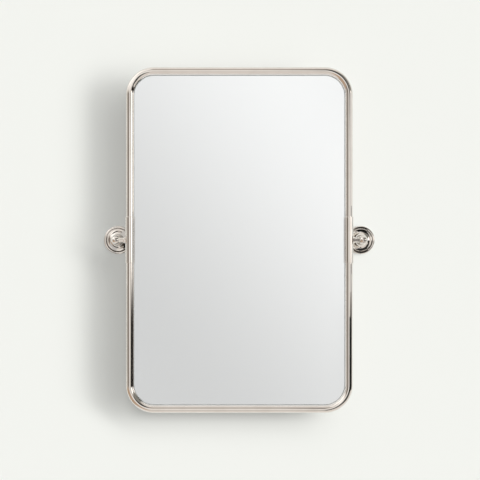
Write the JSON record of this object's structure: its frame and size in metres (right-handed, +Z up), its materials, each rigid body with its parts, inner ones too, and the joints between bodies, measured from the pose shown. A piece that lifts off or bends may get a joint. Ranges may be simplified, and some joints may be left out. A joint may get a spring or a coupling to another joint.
{
  "type": "pivot wall mirror",
  "caption": "Rounded rectangular mirror in a polished bent-tube frame, tilting on side pivots between round wall brackets.",
  "frame": {"origin": "on the wall plane, midway between the two brackets, at the height of the pivot axis", "axes": "+Z up, -Y out of the wall towards the person, +X to that person's right, along the pivot axis"},
  "size_m": [0.61, 0.075, 0.762],
  "materials": {
    "polished_nickel": "polished nickel plate, warm white metal",
    "plain_steel": "zinc plated and stainless steel",
    "nylon": "natural nylon",
    "clear_glass": "clear float glass with ground edges",
    "silvering": "silver coat under grey protective paint",
    "foam": "white double-sided foam tape",
    "hardboard": "smooth brown fibreboard",
    "clear_rubber": "clear polyurethane"
  },
  "bodies": {
    "wall_brackets": {"wall_plate_left": "plain_steel", "wall_plate_right": "plain_steel", "rose_left": "polished_nickel", "rose_right": "polished_nickel", "rose_grub_left": "plain_steel", "rose_grub_right": "plain_steel", "post_left": "polished_nickel", "post_right": "polished_nickel", "post_screw_left": "plain_steel", "post_screw_right": "plain_steel", "pivot_bush_left": "nylon", "pivot_bush_right": "nylon", "knuckle_grub_left": "plain_steel", "knuckle_grub_right": "plain_steel"},
    "mirror": {"pivot_washer_left": "nylon", "pivot_washer_right": "nylon", "pivot_collar_left": "polished_nickel", "pivot_collar_right": "polished_nickel", "pivot_pin_left": "plain_steel", "pivot_pin_right": "plain_steel", "sleeve_left": "polished_nickel", "sleeve_right": "polished_nickel", "joiner_left": "plain_steel", "joiner_right": "plain_steel", "frame_tube_upper": "polished_nickel", "frame_tube_lower": "polished_nickel", "glass_tray": "polished_nickel", "mirror_glass": "clear_glass", "silver_coat": "silvering", "foam_tape": "foam", "backing_board": "hardboard", "tray_screws": "plain_steel", "wall_bumpers": "clear_rubber"}
  },
  "joints": [
    {"name": "mirror_tilt", "type": "hinge", "parent": "wall_brackets", "child": "mirror", "pos_m": [0, -0.065, 0], "axis": [1, 0, 0], "range_deg": [-7, 7]}
  ]
}
